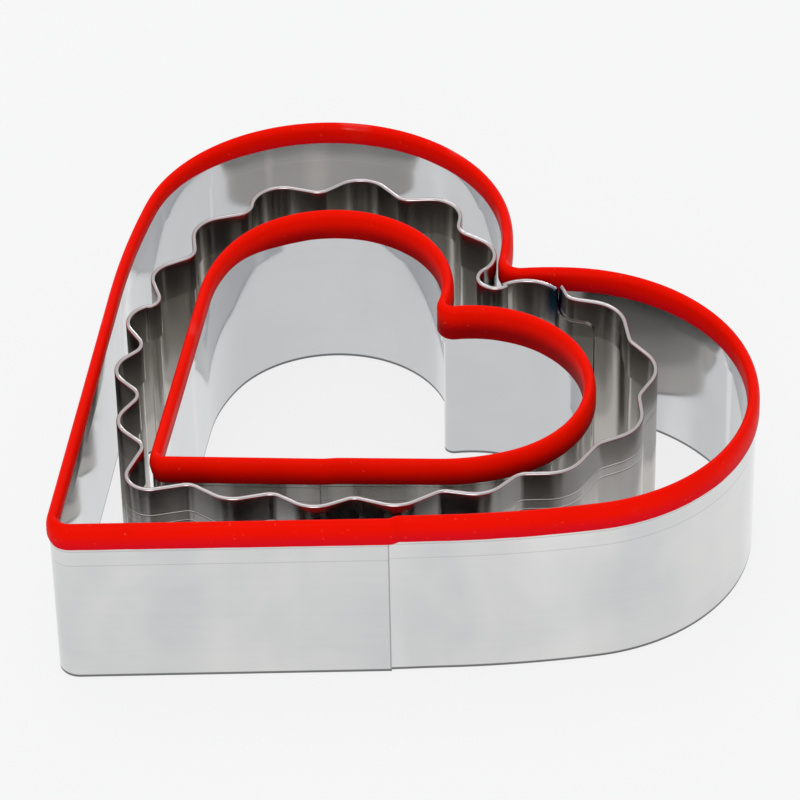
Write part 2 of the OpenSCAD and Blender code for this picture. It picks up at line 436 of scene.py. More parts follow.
class Sock:
    """A node socket that takes part in Python arithmetic by adding Math and Vector Math nodes."""

    def __init__(self, net: "Net", socket: bpy.types.NodeSocket) -> None:
        """Wraps an output socket of a net."""
        self.net = net
        self.socket = socket

    def _math(self, operation: str, *values: Any) -> "Sock":
        """Adds a Math node of an operation on these values."""
        return self.net.add("ShaderNodeMath", {"operation": operation}, dict(enumerate(values)))

    def __add__(self, other: Any) -> "Sock":
        """Sum."""
        return self._math("ADD", self, other)

    def __sub__(self, other: Any) -> "Sock":
        """Difference."""
        return self._math("SUBTRACT", self, other)

    def __rsub__(self, other: Any) -> "Sock":
        """Difference with the number first."""
        return self._math("SUBTRACT", other, self)

    def __mul__(self, other: Any) -> "Sock":
        """Product."""
        return self._math("MULTIPLY", self, other)

    def __truediv__(self, other: Any) -> "Sock":
        """Quotient."""
        return self._math("DIVIDE", self, other)

    def __gt__(self, other: Any) -> "Sock":
        """1 where it is greater, otherwise 0."""
        return self._math("GREATER_THAN", self, other)

    def __abs__(self) -> "Sock":
        """Absolute value."""
        return self._math("ABSOLUTE", self)

    __radd__ = __add__
    __rmul__ = __mul__

    def ramp(self, low: float, high: float, smooth: bool = True) -> "Sock":
        """Goes from 0 at low to 1 at high and stays there.

        Args:
            low: Value at which the ramp starts.
            high: Value at which it ends; it may be the smaller one.
            smooth: Whether both ends are eased.

        Returns:
            The ramped value.
        """
        settings = {"interpolation_type": "SMOOTHSTEP" if smooth else "LINEAR", "clamp": True}
        values = (self, low, high, 0.0, 1.0) if low < high else (self, high, low, 1.0, 0.0)
        names = ("Value", "From Min", "From Max", "To Min", "To Max")
        return self.net.add("ShaderNodeMapRange", settings, dict(zip(names, values)))

    def axis(self, name: str) -> "Sock":
        """One part of a vector: X, Y or Z."""
        return self.net.add("ShaderNodeSeparateXYZ", None, {0: self}, name)

    def _vector(self, operation: str, values: dict[Any, Any], out: str = "Vector") -> "Sock":
        """Adds a Vector Math node of an operation on this vector."""
        return self.net.add("ShaderNodeVectorMath", {"operation": operation}, {0: self, **values}, out)

    def less(self, other: Any) -> "Sock":
        """Difference of two vectors."""
        return self._vector("SUBTRACT", {1: other})

    def times(self, other: Any) -> "Sock":
        """Product of two vectors, part by part."""
        return self._vector("MULTIPLY", {1: other})

    def scaled(self, length: Any) -> "Sock":
        """The vector times a value."""
        return self._vector("SCALE", {"Scale": length})

    def dot(self, other: Any) -> "Sock":
        """Dot product of two vectors."""
        return self._vector("DOT_PRODUCT", {1: other}, "Value")

    def length(self) -> "Sock":
        """Length of the vector."""
        return self._vector("LENGTH", {}, "Value")


class Net:
    """A node tree with one way to add a node."""

    def __init__(self, tree: bpy.types.NodeTree) -> None:
        """Wraps a tree."""
        self.tree = tree

    def add(
        self,
        kind: str,
        settings: dict[str, Any] | None = None,
        values: dict[Any, Any] | None = None,
        out: Any = 0,
    ) -> Sock:
        """Adds a node, sets its settings first and then the values or links of its sockets.

        Args:
            kind: Type of the node.
            settings: Properties of the node.
            values: Values or other sockets by the name or number of each input.
            out: Name or number of the output that is returned.

        Returns:
            The chosen output.
        """
        node = self.tree.nodes.new(kind)
        for name, value in (settings or {}).items():
            if name == "stops":
                self._stops(node.color_ramp, value)
            else:
                setattr(node, name, value)
        for name, value in (values or {}).items():
            self.feed(node.inputs[name], value)
        return Sock(self, node.outputs[out])

    def feed(self, socket: bpy.types.NodeSocket, value: Any) -> None:
        """Links a socket to another one, or sets its value."""
        if isinstance(value, Sock):
            self.tree.links.new(value.socket, socket)
        else:
            socket.default_value = value

    @staticmethod
    def _stops(ramp: bpy.types.ColorRamp, stops: list[tuple[float, tuple]]) -> None:
        """Fills a colour ramp with stops of position and colour."""
        while len(ramp.elements) < len(stops):
            ramp.elements.new(1.0)
        for element, (position, colour) in zip(ramp.elements, stops):
            element.position = position
            element.color = colour

    def mix(self, factor: Any, a: Any, b: Any) -> Sock:
        """Mixes two colours.

        Args:
            factor: Share of the second colour.
            a: First colour, as three numbers or a socket.
            b: Second colour, as three numbers or a socket.

        Returns:
            The mixed colour.
        """
        first, second = (c if isinstance(c, Sock) else (*c, 1) for c in (a, b))
        settings = {"data_type": "RGBA", "clamp_factor": True}
        return self.add("ShaderNodeMix", settings, {0: factor, 6: first, 7: second}, 2)

    def bump(self, strength: float, depth: float, height: Sock, under: Sock | None = None) -> Sock:
        """A normal bent by a height.

        Args:
            strength: Strength of the bump.
            depth: Depth that a height of 1 stands for, in metres.
            height: The height.
            under: Normal of a bump beneath this one.

        Returns:
            The bent normal.
        """
        values = {"Strength": strength, "Distance": depth, "Height": height}
        if under is not None:
            values["Normal"] = under
        return self.add("ShaderNodeBump", None, values)

    def vector(self, x: Any, y: Any, z: Any) -> Sock:
        """A vector of three values."""
        return self.add("ShaderNodeCombineXYZ", None, {0: x, 1: y, 2: z})


# The sweep that makes strips and grips from a line and a profile


class Sweep:
    """Geometry Nodes tree that carries a profile along a strip's line."""

    NAME = "strip_sweep"
    INPUTS = {
        "Waver": 0.0,
        "Waver Scale": 60.0,
        "Lip Waver": 0.0,
        "Lip Top": 0.0,
        "Inner Lift": 0.0,
        "Outer Lift": 0.0,
        "Flare": 0.0,
        "Flare Length": 0.001,
        "Flare From": 0.0,
        "Height": 0.025,
    }
    SEED = 3

    # The ripple of a lip is finer than the strip's waver by this factor, and has its own seed
    RIPPLE = 5.0
    RIPPLE_SEED = 7

    # Height over which a lift of the lips starts, and distances from the line to a leg, in metres
    LIP_FADE = 0.5 * MM
    LEG_NEAR = 0.1 * MM
    LEG_FAR = 0.4 * MM

    # Ramps of the outward normal's Y and X, and of the place's X, over which a lip is drawn up
    NEAR_WALLS = (0.4, -0.5)
    LEFT_WALLS = (0.3, -0.5)
    LEFT_HALF = (2.0 * MM, -4.0 * MM)
    NEAR_SHARE = 0.65

    def __init__(self) -> None:
        """Builds the tree once."""
        self.tree = bpy.data.node_groups.new(self.NAME, "GeometryNodeTree")
        self._face("Line", "NodeSocketGeometry")
        self._face("Profile", "NodeSocketObject")
        self._face("Material", "NodeSocketMaterial")
        for name, value in self.INPUTS.items():
            self._face(name, "NodeSocketFloat").default_value = value
        self._face("Seed", "NodeSocketInt").default_value = self.SEED
        self.tree.interface.new_socket("Mesh", in_out="OUTPUT", socket_type="NodeSocketGeometry")
        self.net = Net(self.tree)
        inputs = self.tree.nodes.new("NodeGroupInput")
        self.take = {s.name: Sock(self.net, s) for s in inputs.outputs if s.name}
        self._finish(self._lipped(self._flared(self._swept())))

    def _face(self, name: str, kind: str) -> Any:
        """Adds a named input to the tree."""
        return self.tree.interface.new_socket(name, in_out="INPUT", socket_type=kind)

    def _place(self) -> Sock:
        """The position of each point."""
        return self.net.add("GeometryNodeInputPosition")

    def _named(self, name: str, kind: str = "FLOAT") -> Sock:
        """Reads a named attribute."""
        return self.net.add("GeometryNodeInputNamedAttribute", {"data_type": kind}, {"Name": name})

    def _stored(
        self, shape: Sock, name: str, value: Sock, kind: str = "FLOAT", domain: str = "POINT"
    ) -> Sock:
        """Stores a named attribute.

        Args:
            shape: The geometry.
            name: Name of the attribute.
            value: Its value.
            kind: Its type.
            domain: Where it is kept.

        Returns:
            The geometry with the attribute.
        """
        settings = {"data_type": kind, "domain": domain}
        values = {"Geometry": shape, "Name": name, "Value": value}
        return self.net.add("GeometryNodeStoreNamedAttribute", settings, values)

    def _shifted(self, shape: Sock, offset: Sock) -> Sock:
        """Moves each point by an offset."""
        return self.net.add("GeometryNodeSetPosition", None, {"Geometry": shape, "Offset": offset})

    def _noise(self, scale: Sock, seed: Sock) -> Sock:
        """Seeded noise at each point, from -0.5 to 0.5."""
        values = {"Vector": self._place(), "W": seed, "Scale": scale, "Detail": 1.0}
        return self.net.add("ShaderNodeTexNoise", {"noise_dimensions": "4D"}, values) - 0.5

    def _swept(self) -> Sock:
        """The profile along the wavering line, with the line's own values on each point."""
        net, take = self.net, self.take
        line = net.add("GeometryNodeMeshToCurve", None, {"Mesh": take["Line"]})
        line = net.add("GeometryNodeSetCurveNormal", {"mode": "Z_UP"}, {"Curve": line})
        run = net.add("GeometryNodeSplineParameter", out="Length")
        whole = net.add("GeometryNodeSplineLength", out="Length")
        outward = net.add("GeometryNodeInputNormal")
        line = self._stored(line, "run", run)
        line = self._stored(line, "run_back", whole - run)
        line = self._stored(line, "outward", outward, "FLOAT_VECTOR")
        line = self._stored(line, "on_line", self._place(), "FLOAT_VECTOR")
        sway = self._noise(take["Waver Scale"], take["Seed"])
        line = self._shifted(line, outward.scaled(sway * take["Waver"] * 2.0))
        profile = net.add("GeometryNodeObjectInfo", None, {"Object": take["Profile"]}, "Geometry")
        profile = net.add("GeometryNodeMeshToCurve", None, {"Mesh": profile})
        values = {"Curve": line, "Profile Curve": profile, "Fill Caps": True}
        return net.add("GeometryNodeCurveToMesh", None, values)

    def _flared(self, mesh: Sock) -> Sock:
        """The mesh with the top corner of its far end bent outward."""
        take = self.take
        height = self._place().axis("Z")
        share = (height - take["Flare From"]) / (take["Height"] - take["Flare From"])
        near_end = (1.0 - self._named("run_back") / take["Flare Length"]).ramp(0.0, 1.0, False)
        flare = take["Flare"] * near_end * near_end * share.ramp(0.0, 1.0, False)
        return self._shifted(mesh, self._named("outward", "FLOAT_VECTOR").scaled(flare))

    def _lipped(self, mesh: Sock) -> Sock:
        """The mesh with the lips of its legs drawn up and slightly uneven.

        The inner lip rises on the near walls and on the left half, the outer one on the far left.

        Args:
            mesh: The swept mesh.

        Returns:
            The mesh with its lips moved.
        """
        take = self.take
        place, outward = self._place(), self._named("outward", "FLOAT_VECTOR")
        low = ((take["Lip Top"] - place.axis("Z")) / self.LIP_FADE).ramp(0.0, 1.0, False)
        ripple = self._noise(take["Waver Scale"] * self.RIPPLE, take["Seed"] + self.RIPPLE_SEED)
        across = place.less(self._named("on_line", "FLOAT_VECTOR")).dot(outward)
        inner = across.ramp(-self.LEG_NEAR, -self.LEG_FAR)
        outer = across.ramp(self.LEG_NEAR, self.LEG_FAR)
        near = outward.axis("Y").ramp(*self.NEAR_WALLS)
        left = place.axis("X").ramp(*self.LEFT_HALF)
        either = left + near * (1.0 - left)
        drawn = near * self.NEAR_SHARE + either * (1.0 - self.NEAR_SHARE)
        drawn = drawn * inner * take["Inner Lift"]
        drawn += outward.axis("X").ramp(*self.LEFT_WALLS) * outer * take["Outer Lift"]
        lift = (abs(ripple) * take["Lip Waver"] + drawn) * low
        return self._shifted(mesh, self.net.vector(0.0, 0.0, lift))

    def _finish(self, mesh: Sock) -> None:
        """Adds the UV map, the shading and the material, and ends the tree."""
        net, material = self.net, self.take["Material"]
        uv = net.vector(self._named("run"), self._place().axis("Z"), 0.0)
        mesh = self._stored(mesh, "UVMap", uv, "FLOAT2", "CORNER")
        mesh = net.add("GeometryNodeSetShadeSmooth", None, {"Geometry": mesh, "Shade Smooth": True})
        mesh = net.add("GeometryNodeRealizeInstances", None, {"Geometry": mesh})
        mesh = net.add("GeometryNodeSetMaterial", None, {"Geometry": mesh, "Material": material})
        net.feed(self.tree.nodes.new("NodeGroupOutput").inputs["Mesh"], mesh)

    def make(
        self,
        name: str,
        line: list[Station],
        closed: bool,
        profile: list[Point],
        place: Place,
        material: bpy.types.Material,
        sizes: dict[str, Any] | None = None,
    ) -> bpy.types.Object:
        """Sweeps a closed profile along a line and returns the result as a plain mesh.

        Args:
            name: Name of the piece.
            line: Stations in the cutter's own plan, in millimetres.
            closed: Whether the line is a ring.
            profile: Points of distance outward and height, in millimetres.
            place: Where the cutter stands.
            material: Finish of the piece.
            sizes: Values of the tree's other inputs, by name.

        Returns:
            The finished object, with its place in its mesh.
        """
        matrix = place.matrix()
        points = [matrix @ Vector((*s.at, 0)) * MM for s in line]
        base = wire(name, points, closed)
        section = wire(name + "_section", [Vector((x, -z, 0)) * MM for x, z in profile], True)
        modifier = base.modifiers.new("sweep", "NODES")
        modifier.node_group = self.tree
        given = {"Profile": section, "Material": material, **(sizes or {})}
        for item in self.tree.interface.items_tree:
            if item.item_type == "SOCKET" and item.in_out == "INPUT" and item.name in given:
                modifier[item.identifier] = given[item.name]
        bpy.context.view_layer.update()
        evaluated = base.evaluated_get(bpy.context.evaluated_depsgraph_get())
        mesh = bpy.data.meshes.new_from_object(evaluated)
        for used in (base, section):
            bpy.data.objects.remove(used)
        return settle(name, mesh)


def wire(name: str, points: list[Vector], closed: bool) -> bpy.types.Object:
    """An object of edges through points.

    Args:
        name: Name of the object.
        points: Its points, in metres.
        closed: Whether the last point joins the first.

    Returns:
        The object, linked to the scene.
    """
    kept = [points[0]]
    for point in points[1:]:
        if (point - kept[-1]).length > MERGE:
            kept.append(point)
    if closed and (kept[0] - kept[-1]).length < MERGE:
        kept.pop()
    edges = [(i, i + 1) for i in range(len(kept) - 1)]
    if closed:
        edges.append((len(kept) - 1, 0))
    mesh = bpy.data.meshes.new(name + "_line")
    mesh.from_pydata(kept, edges, [])
    made = bpy.data.objects.new(name + "_line", mesh)
    bpy.context.scene.collection.objects.link(made)
    return made


def settle(name: str, mesh: bpy.types.Mesh, sharp: float = 38.0) -> bpy.types.Object:
    """Turns a mesh outward, marks its sharp edges and makes it an object.

    Args:
        name: Name of the object.
        mesh: Its mesh, in metres.
        sharp: Angle in degrees above which an edge stays sharp.

    Returns:
        The object, linked to the scene.
    """
    volume = 0.0
    for face in mesh.polygons:
        a, *rest = (mesh.vertices[i].co for i in face.vertices)
        volume += sum(a.dot(b.cross(c)) for b, c in zip(rest, rest[1:]))
    if volume < 0:
        mesh.flip_normals()
    mesh.shade_smooth()
    mesh.set_sharp_from_angle(angle=math.radians(sharp))
    mesh.name = name
    made = bpy.data.objects.new(name, mesh)
    bpy.context.scene.collection.objects.link(made)
    return made


# Finishes

# Lightest value that a lighter copy of a colour takes, which caps the painted highlight on the steel
PALEST = 0.9

# Strength of each roller mark from the upper one down, its wandering and its half width
MARK_STRENGTHS = (1.0, 0.7)
MARK_WANDER = 0.08 * MM
MARK_HALF = 0.14 * MM

# Greys of the painted shade at the strip's outer end beside the lap's step, of its foot, which is
# partly its dark edge and partly painted shadow from the floor, and of the folded zone
END_SHADE_GREY = (0.2, 0.2, 0.2)
FOOT_SHADOW_GREY = (0.09, 0.09, 0.095)
FOLD_GREY = (0.05, 0.047, 0.042)

# Bands of the heat tint from its middle outward, its ring, its wobble, and its stretch upward
TINT_BANDS = (
    (0.0, (0.01, 0.06, 0.11, 1)),
    (0.35, (0.02, 0.04, 0.13, 1)),
    (0.6, (0.08, 0.07, 0.11, 1)),
    (0.8, (0.28, 0.24, 0.18, 1)),
)
TINT_RING = (0.8 * MM, 2.4 * MM)
TINT_WOBBLE = 0.6 * MM
TINT_STRETCH = (1.0, 1.0, 0.45)

# Colour of the fine specks in the vinyl
SPECK_RED = (0.9, 0.28, 0.22)


def new_material(name: str) -> tuple[bpy.types.Material, Net, bpy.types.ShaderNode]:
    """Starts a material.

    Args:
        name: Its name.

    Returns:
        The material, the net of its tree and its shader.
    """
    material = bpy.data.materials.new(name)
    material.use_nodes = True
    return material, Net(material.node_tree), material.node_tree.nodes["Principled BSDF"]


def shade(colour: Triple, share: float) -> Triple:
    """A colour made darker or lighter by a share, up to a limit."""
    return tuple(min(PALEST, c * share) for c in colour)


@dataclass(frozen=True)
class Noise:
    """Noise on a piece: its scale per metre, the number and strength of finer layers, its warp."""

    scale: float
    detail: float = 2.0
    rough: float = 0.5
    warp: float = 0.0

    def at(self, where: Sock) -> Sock:
        """The noise at a vector, from 0 to 1."""
        values = {
            "Vector": where,
            "Scale": self.scale,
            "Detail": self.detail,
            "Roughness": self.rough,
            "Distortion": self.warp,
        }
        return where.net.add("ShaderNodeTexNoise", None, values)


# Soft smudges on the steel and the uneven edge of its heat tint
SMUDGE = Noise(scale=55.0, detail=3.0, rough=0.55, warp=0.4)
TINT_EDGE = Noise(scale=900.0)

# Cloudy and fine unevenness of the vinyl, its specks and its glossy patches
CLOUD = Noise(scale=120.0, detail=3.0, rough=0.6)
FINE = Noise(scale=2600.0, rough=0.6)
SPECKS = Noise(scale=2400.0, detail=0.0)
PATCHES = Noise(scale=90.0, detail=1.0)


@dataclass(frozen=True)
class StripNoise:
    """Noise stretched along a strip: its scales per metre, its slice and its finer layers."""

    along: float
    up: float
    slice: float
    detail: float
    rough: float

    def at(self, run: Sock, height: Sock) -> Sock:
        """The noise at a distance along a strip and a height, from 0 to 1."""
        where = run.net.vector(run * self.along, height * self.up, self.slice)
        return Noise(1.0, self.detail, self.rough).at(where)


# The rolled grain, its longer streaks, the soft bends along a wall, and narrow upright bands of
# painted highlight on the inner face
GRAIN = StripNoise(along=90.0, up=9000.0, slice=0.0, detail=3.0, rough=0.6)
STREAKS = StripNoise(along=12.0, up=1500.0, slice=3.0, detail=2.0, rough=0.6)
BENT = StripNoise(along=60.0, up=4.0, slice=7.0, detail=2.0, rough=0.5)
THIN_HIGHLIGHT = StripNoise(along=300.0, up=12.0, slice=9.0, detail=1.0, rough=0.4)


@dataclass(frozen=True)
class StripSteel:
    """Rolled steel strip with a fine grain along it, the faint marks of the folding rollers, and
    painted light: highlights on its soft bends and inner face, and shade at its outer end, at its
    foot and over its inner face.

    Heights of the marks, the rim, the foot and the folded zone are in millimetres above the
    floor, and so is the place of the heat tint. A rim from 100 is above the strip and not seen.
    """

    name: str
    colour: Triple
    roughness: float
    grain: float
    marks: tuple[float, ...]
    mark_depth: float
    dull: float

    # Colours of the marks, the rim and the strip's inner face, which is darker as painted shade
    mark_colour: Triple = (0.22, 0.21, 0.21)
    rim_colour: Triple = (0.6, 0.6, 0.6)
    inside: Triple = (0.645, 0.655, 0.67)

    # Heights of the rim, of the foot, and of the fold as seen from outside and from inside
    rim_from: float = 100.0
    rim_fade: float = 0.15
    foot: float = 0.5
    foot_core: float = 0.7
    fold_outside: float = 20.8
    fold_inside: float = 19.2
    fold_fade: float = 0.1

    # Where the painted shade at the strip's outer end starts and where it is darkest, in millimetres
    # from the end
    end_fade: tuple[float, float] = (0.24, 0.14)

    # Strength of the painted shade at the end, of the foot's dark edge and painted shadow and of the
    # dark fold, of the wear, the painted highlights and the marks' grooves
    end_shade: float = 0.55
    foot_shadow: float = 0.85
    fold_dark: float = 0.0
    worn: float = 0.9
    lighter: float = 1.28
    painted_highlight: float = 0.6
    thin_painted_highlight: float = 0.5
    grain_rough: float = 0.05
    groove: float = 0.1
    grain_height: float = 0.04
    groove_height: float = 0.08
    tint_at: Triple | None = None

    def build(self) -> bpy.types.Material:
        """Builds the material.

        Returns:
            The new material.
        """
        material, net, shader = new_material(self.name)
        uv = net.add("ShaderNodeUVMap", {"uv_map": "UVMap"})
        run, height = uv.axis("X"), uv.axis("Y")
        where = net.add("ShaderNodeTexCoord", out="Object")
        grain, streaks, bent, thin_highlight = (n.at(run, height) for n in (GRAIN, STREAKS, BENT, THIN_HIGHLIGHT))
        smudge = SMUDGE.at(where)
        outward = net.add("ShaderNodeAttribute", {"attribute_name": "outward"}, out="Vector")
        outside = outward.dot(net.add("ShaderNodeNewGeometry", out="Normal")) > 0.3
        marks = self._marks(height, smudge) * streaks.ramp(0.15, 0.45) * outside
        worn = smudge.ramp(0.3, 0.75) * 0.5 + bent.ramp(0.35, 0.7) * 0.42
        worn += streaks.ramp(0.35, 0.75) * 0.08
        # Painted highlights: the steel is made lighter on its soft bends, and in narrow upright bands
        # on the inner face
        painted_highlight = bent.ramp(0.45, 0.3) * self.painted_highlight
        painted_highlight += thin_highlight.ramp(0.64, 0.74) * (1.0 - outside) * self.thin_painted_highlight
        # The inner face takes the darker inside colour, which is painted shade
        colour = net.mix(outside, self.inside, self.colour)
        colour = net.mix(worn, colour, shade(self.inside, self.worn))
        colour = net.mix(painted_highlight, colour, shade(self.colour, self.lighter))
        colour = net.mix(marks * self.mark_depth, colour, self.mark_colour)
        colour = self._edged(net, colour, height, outside)
        if self.tint_at:
            colour = self._tinted(net, colour, where)
        rough = self.roughness + grain * self.grain_rough
        rough += smudge.ramp(0.35, 0.75) * self.dull
        fine = net.bump(self.grain, self.grain_height * MM, grain * 0.5 + streaks * 0.2)
        grooved = net.bump(self.groove, self.groove_height * MM, 1.0 - marks, fine)
        net.feed(shader.inputs["Base Color"], colour)
        net.feed(shader.inputs["Roughness"], rough)
        net.feed(shader.inputs["Metallic"], 1.0)
        net.feed(shader.inputs["Normal"], grooved)
        return material

    def _marks(self, height: Sock, smudge: Sock) -> Sock:
        """The marks of the folding rollers.

        Args:
            height: Height on the strip.
            smudge: Noise that lets the marks wander.

        Returns:
            1 in the middle of a mark, fading to 0 beside it.
        """
        lines = []
        for mark, strength in zip(self.marks, MARK_STRENGTHS):
            away = abs(height - mark * MM + (smudge - 0.5) * MARK_WANDER) / MARK_HALF
            lines.append((1.0 - away.ramp(0.0, 1.0)) * strength)
        return sum(lines)

    def _edged(self, net: Net, colour: Sock, height: Sock, outside: Sock) -> Sock:
        """Paints shade at the strip's outer end, darkens its foot as its edge and painted shadow,
        darkens its folded zone, and colours its rim.

        Args:
            net: The material's net.
            colour: Colour so far.
            height: Height on the strip.
            outside: 1 on the strip's outer face.

        Returns:
            The colour with its edges.
        """
        from_end = net.add("ShaderNodeAttribute", {"attribute_name": "run_back"}, out="Fac")
        # Painted shade on the outer face just before the strip's outer end, beside the lap's step
        end = from_end.ramp(*(distance * MM for distance in self.end_fade)) * outside
        colour = net.mix(end * self.end_shade, colour, END_SHADE_GREY)
        # The foot darkens: partly the strip's dark edge, partly painted shadow from the floor
        foot = height.ramp(self.foot * MM, self.foot * self.foot_core * MM)
        colour = net.mix(foot * self.foot_shadow, colour, FOOT_SHADOW_GREY)
        fold_at = self.fold_inside + (self.fold_outside - self.fold_inside) * outside
        folded = (height - fold_at * MM).ramp(0.0, self.fold_fade * MM)
        colour = net.mix(folded * self.fold_dark, colour, FOLD_GREY)
        rim = height.ramp((self.rim_from - self.rim_fade) * MM, self.rim_from * MM)
        return net.mix(rim, colour, self.rim_colour)

    def _tinted(self, net: Net, colour: Sock, where: Sock) -> Sock:
        """Adds the heat tint that the spot weld leaves at the lap.

        Args:
            net: The material's net.
            colour: Colour so far.
            where: Object coordinates.

        Returns:
            The tinted colour.
        """
        middle = tuple(c * MM for c in self.tint_at)
        gap = where.less(middle).times(TINT_STRETCH).length()
        ring = (gap + TINT_EDGE.at(where) * TINT_WOBBLE).ramp(*TINT_RING, False)
        stops = [*TINT_BANDS, (1.0, (*self.colour, 1))]
        bands = net.add("ShaderNodeValToRGB", {"stops": stops}, {0: ring})
        return net.mix(1.0 - ring, colour, bands)


@dataclass(frozen=True)
class RedVinyl:
    """Soft red vinyl with fine specks, glossy patches and painted shade, a darker red, towards its
    lower lip.

    The height is that of the grip's top, and the lip is its outer leg's depth below that. The
    painted shade fades from just below the lip to a height above it.
    """

    name: str
    colour: Triple
    lip_shade_colour: Triple
    height: float = 25.0
    lip: float = 3.65
    fade: tuple[float, float] = (-0.2, 2.6)

    # Strength of the clouds, how dark they are, and the strength of the specks
    clouded: float = 0.25
    darker: float = 0.82
    specked: float = 0.12

    # Roughness of the vinyl, and what clouds and fine unevenness add to it
    roughness: float = 0.34
    cloud_rough: float = 0.12
    fine_rough: float = 0.05

    # Sheen of the vinyl and of its glossy patches, and its unevenness
    specular: float = 0.02
    coat: float = 0.35
    coat_roughness: float = 0.12
    bump: float = 0.25
    bump_height: float = 0.06

    def build(self) -> bpy.types.Material:
        """Builds the material.

        Returns:
            The new material.
        """
        material, net, shader = new_material(self.name)
        where = net.add("ShaderNodeTexCoord", out="Object")
        cloud, fine = CLOUD.at(where), FINE.at(where)
        specks = SPECKS.at(where).ramp(0.8, 0.85)
        patches = PATCHES.at(where).ramp(0.66, 0.74)
        lip_at = self.height - self.lip
        above = where.axis("Z").ramp(*((lip_at + distance) * MM for distance in self.fade))
        # Painted shade: the red darkens towards the lower lip
        colour = net.mix(above, self.lip_shade_colour, self.colour)
        clouds = cloud.ramp(0.35, 0.75) * self.clouded
        colour = net.mix(clouds, colour, shade(self.colour, self.darker))
        colour = net.mix(specks * self.specked, colour, SPECK_RED)
        rough = self.roughness + cloud.ramp(0.3, 0.8) * self.cloud_rough
        rough += fine * self.fine_rough
        uneven = net.bump(self.bump, self.bump_height * MM, cloud * 0.7 + fine * 0.3)
        net.feed(shader.inputs["Base Color"], colour)
        net.feed(shader.inputs["Roughness"], rough)
        net.feed(shader.inputs["Specular IOR Level"], self.specular)
        net.feed(shader.inputs["Coat Weight"], patches * self.coat)
        net.feed(shader.inputs["Coat Roughness"], self.coat_roughness)
        net.feed(shader.inputs["Normal"], uneven)
        return material


class Slot(Enum):
    """Material slots of the record."""

    SATIN = "satin_steel"
    BRIGHT = "bright_steel"
    RED = "red_grip"


# Cutters


@dataclass
class Cutter:
    """What the three cutters share: a body that they ride on, a place and the strip's thickness."""

    FOLD_PARTS = 8
    WALL_ROWS = 6

    body: str
    place: Place
    height: float = 25.0
    strip: float = 0.4

    def keep(self, piece: bpy.types.Object, slot: Slot, node: str | None = None) -> None:
        """Lets a finished piece ride on the cutter's body.

        Args:
            piece: The piece.
            slot: The record's slot of its finish; not used.
            node: The CAD node that it stands for, if it does.
        """
        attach(piece, self.body)
        if node:
            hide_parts(node)
        log.info("%s: %d faces on %s", piece.name, len(piece.data.polygons), self.body)

    def folded(self, top: float, hem: float, edge: float = 0.06) -> list[Point]:
        """Profile of the strip with its folded top and the hem inside.

        Args:
            top: Height of the fold.
            hem: Depth of the hem.
            edge: Ease of the cutting edge and of the hem's own edge.

        Returns:
            The profile as distance outward and height.
        """
        t = self.strip
        turns = [math.pi * i / self.FOLD_PARTS for i in range(self.FOLD_PARTS + 1)]
        fold = [(t * math.cos(a), top - t + t * math.sin(a)) for a in turns]
        low = [(-t, top - hem + edge), (-t + edge, top - hem), (0.0, top - hem)]
        foot = [(0.0, edge), (edge, 0.0), (t - edge, 0.0), (t, edge)]
        rows = [(t, top * k / self.WALL_ROWS) for k in range(1, self.WALL_ROWS)]
        return foot + rows + fold + low


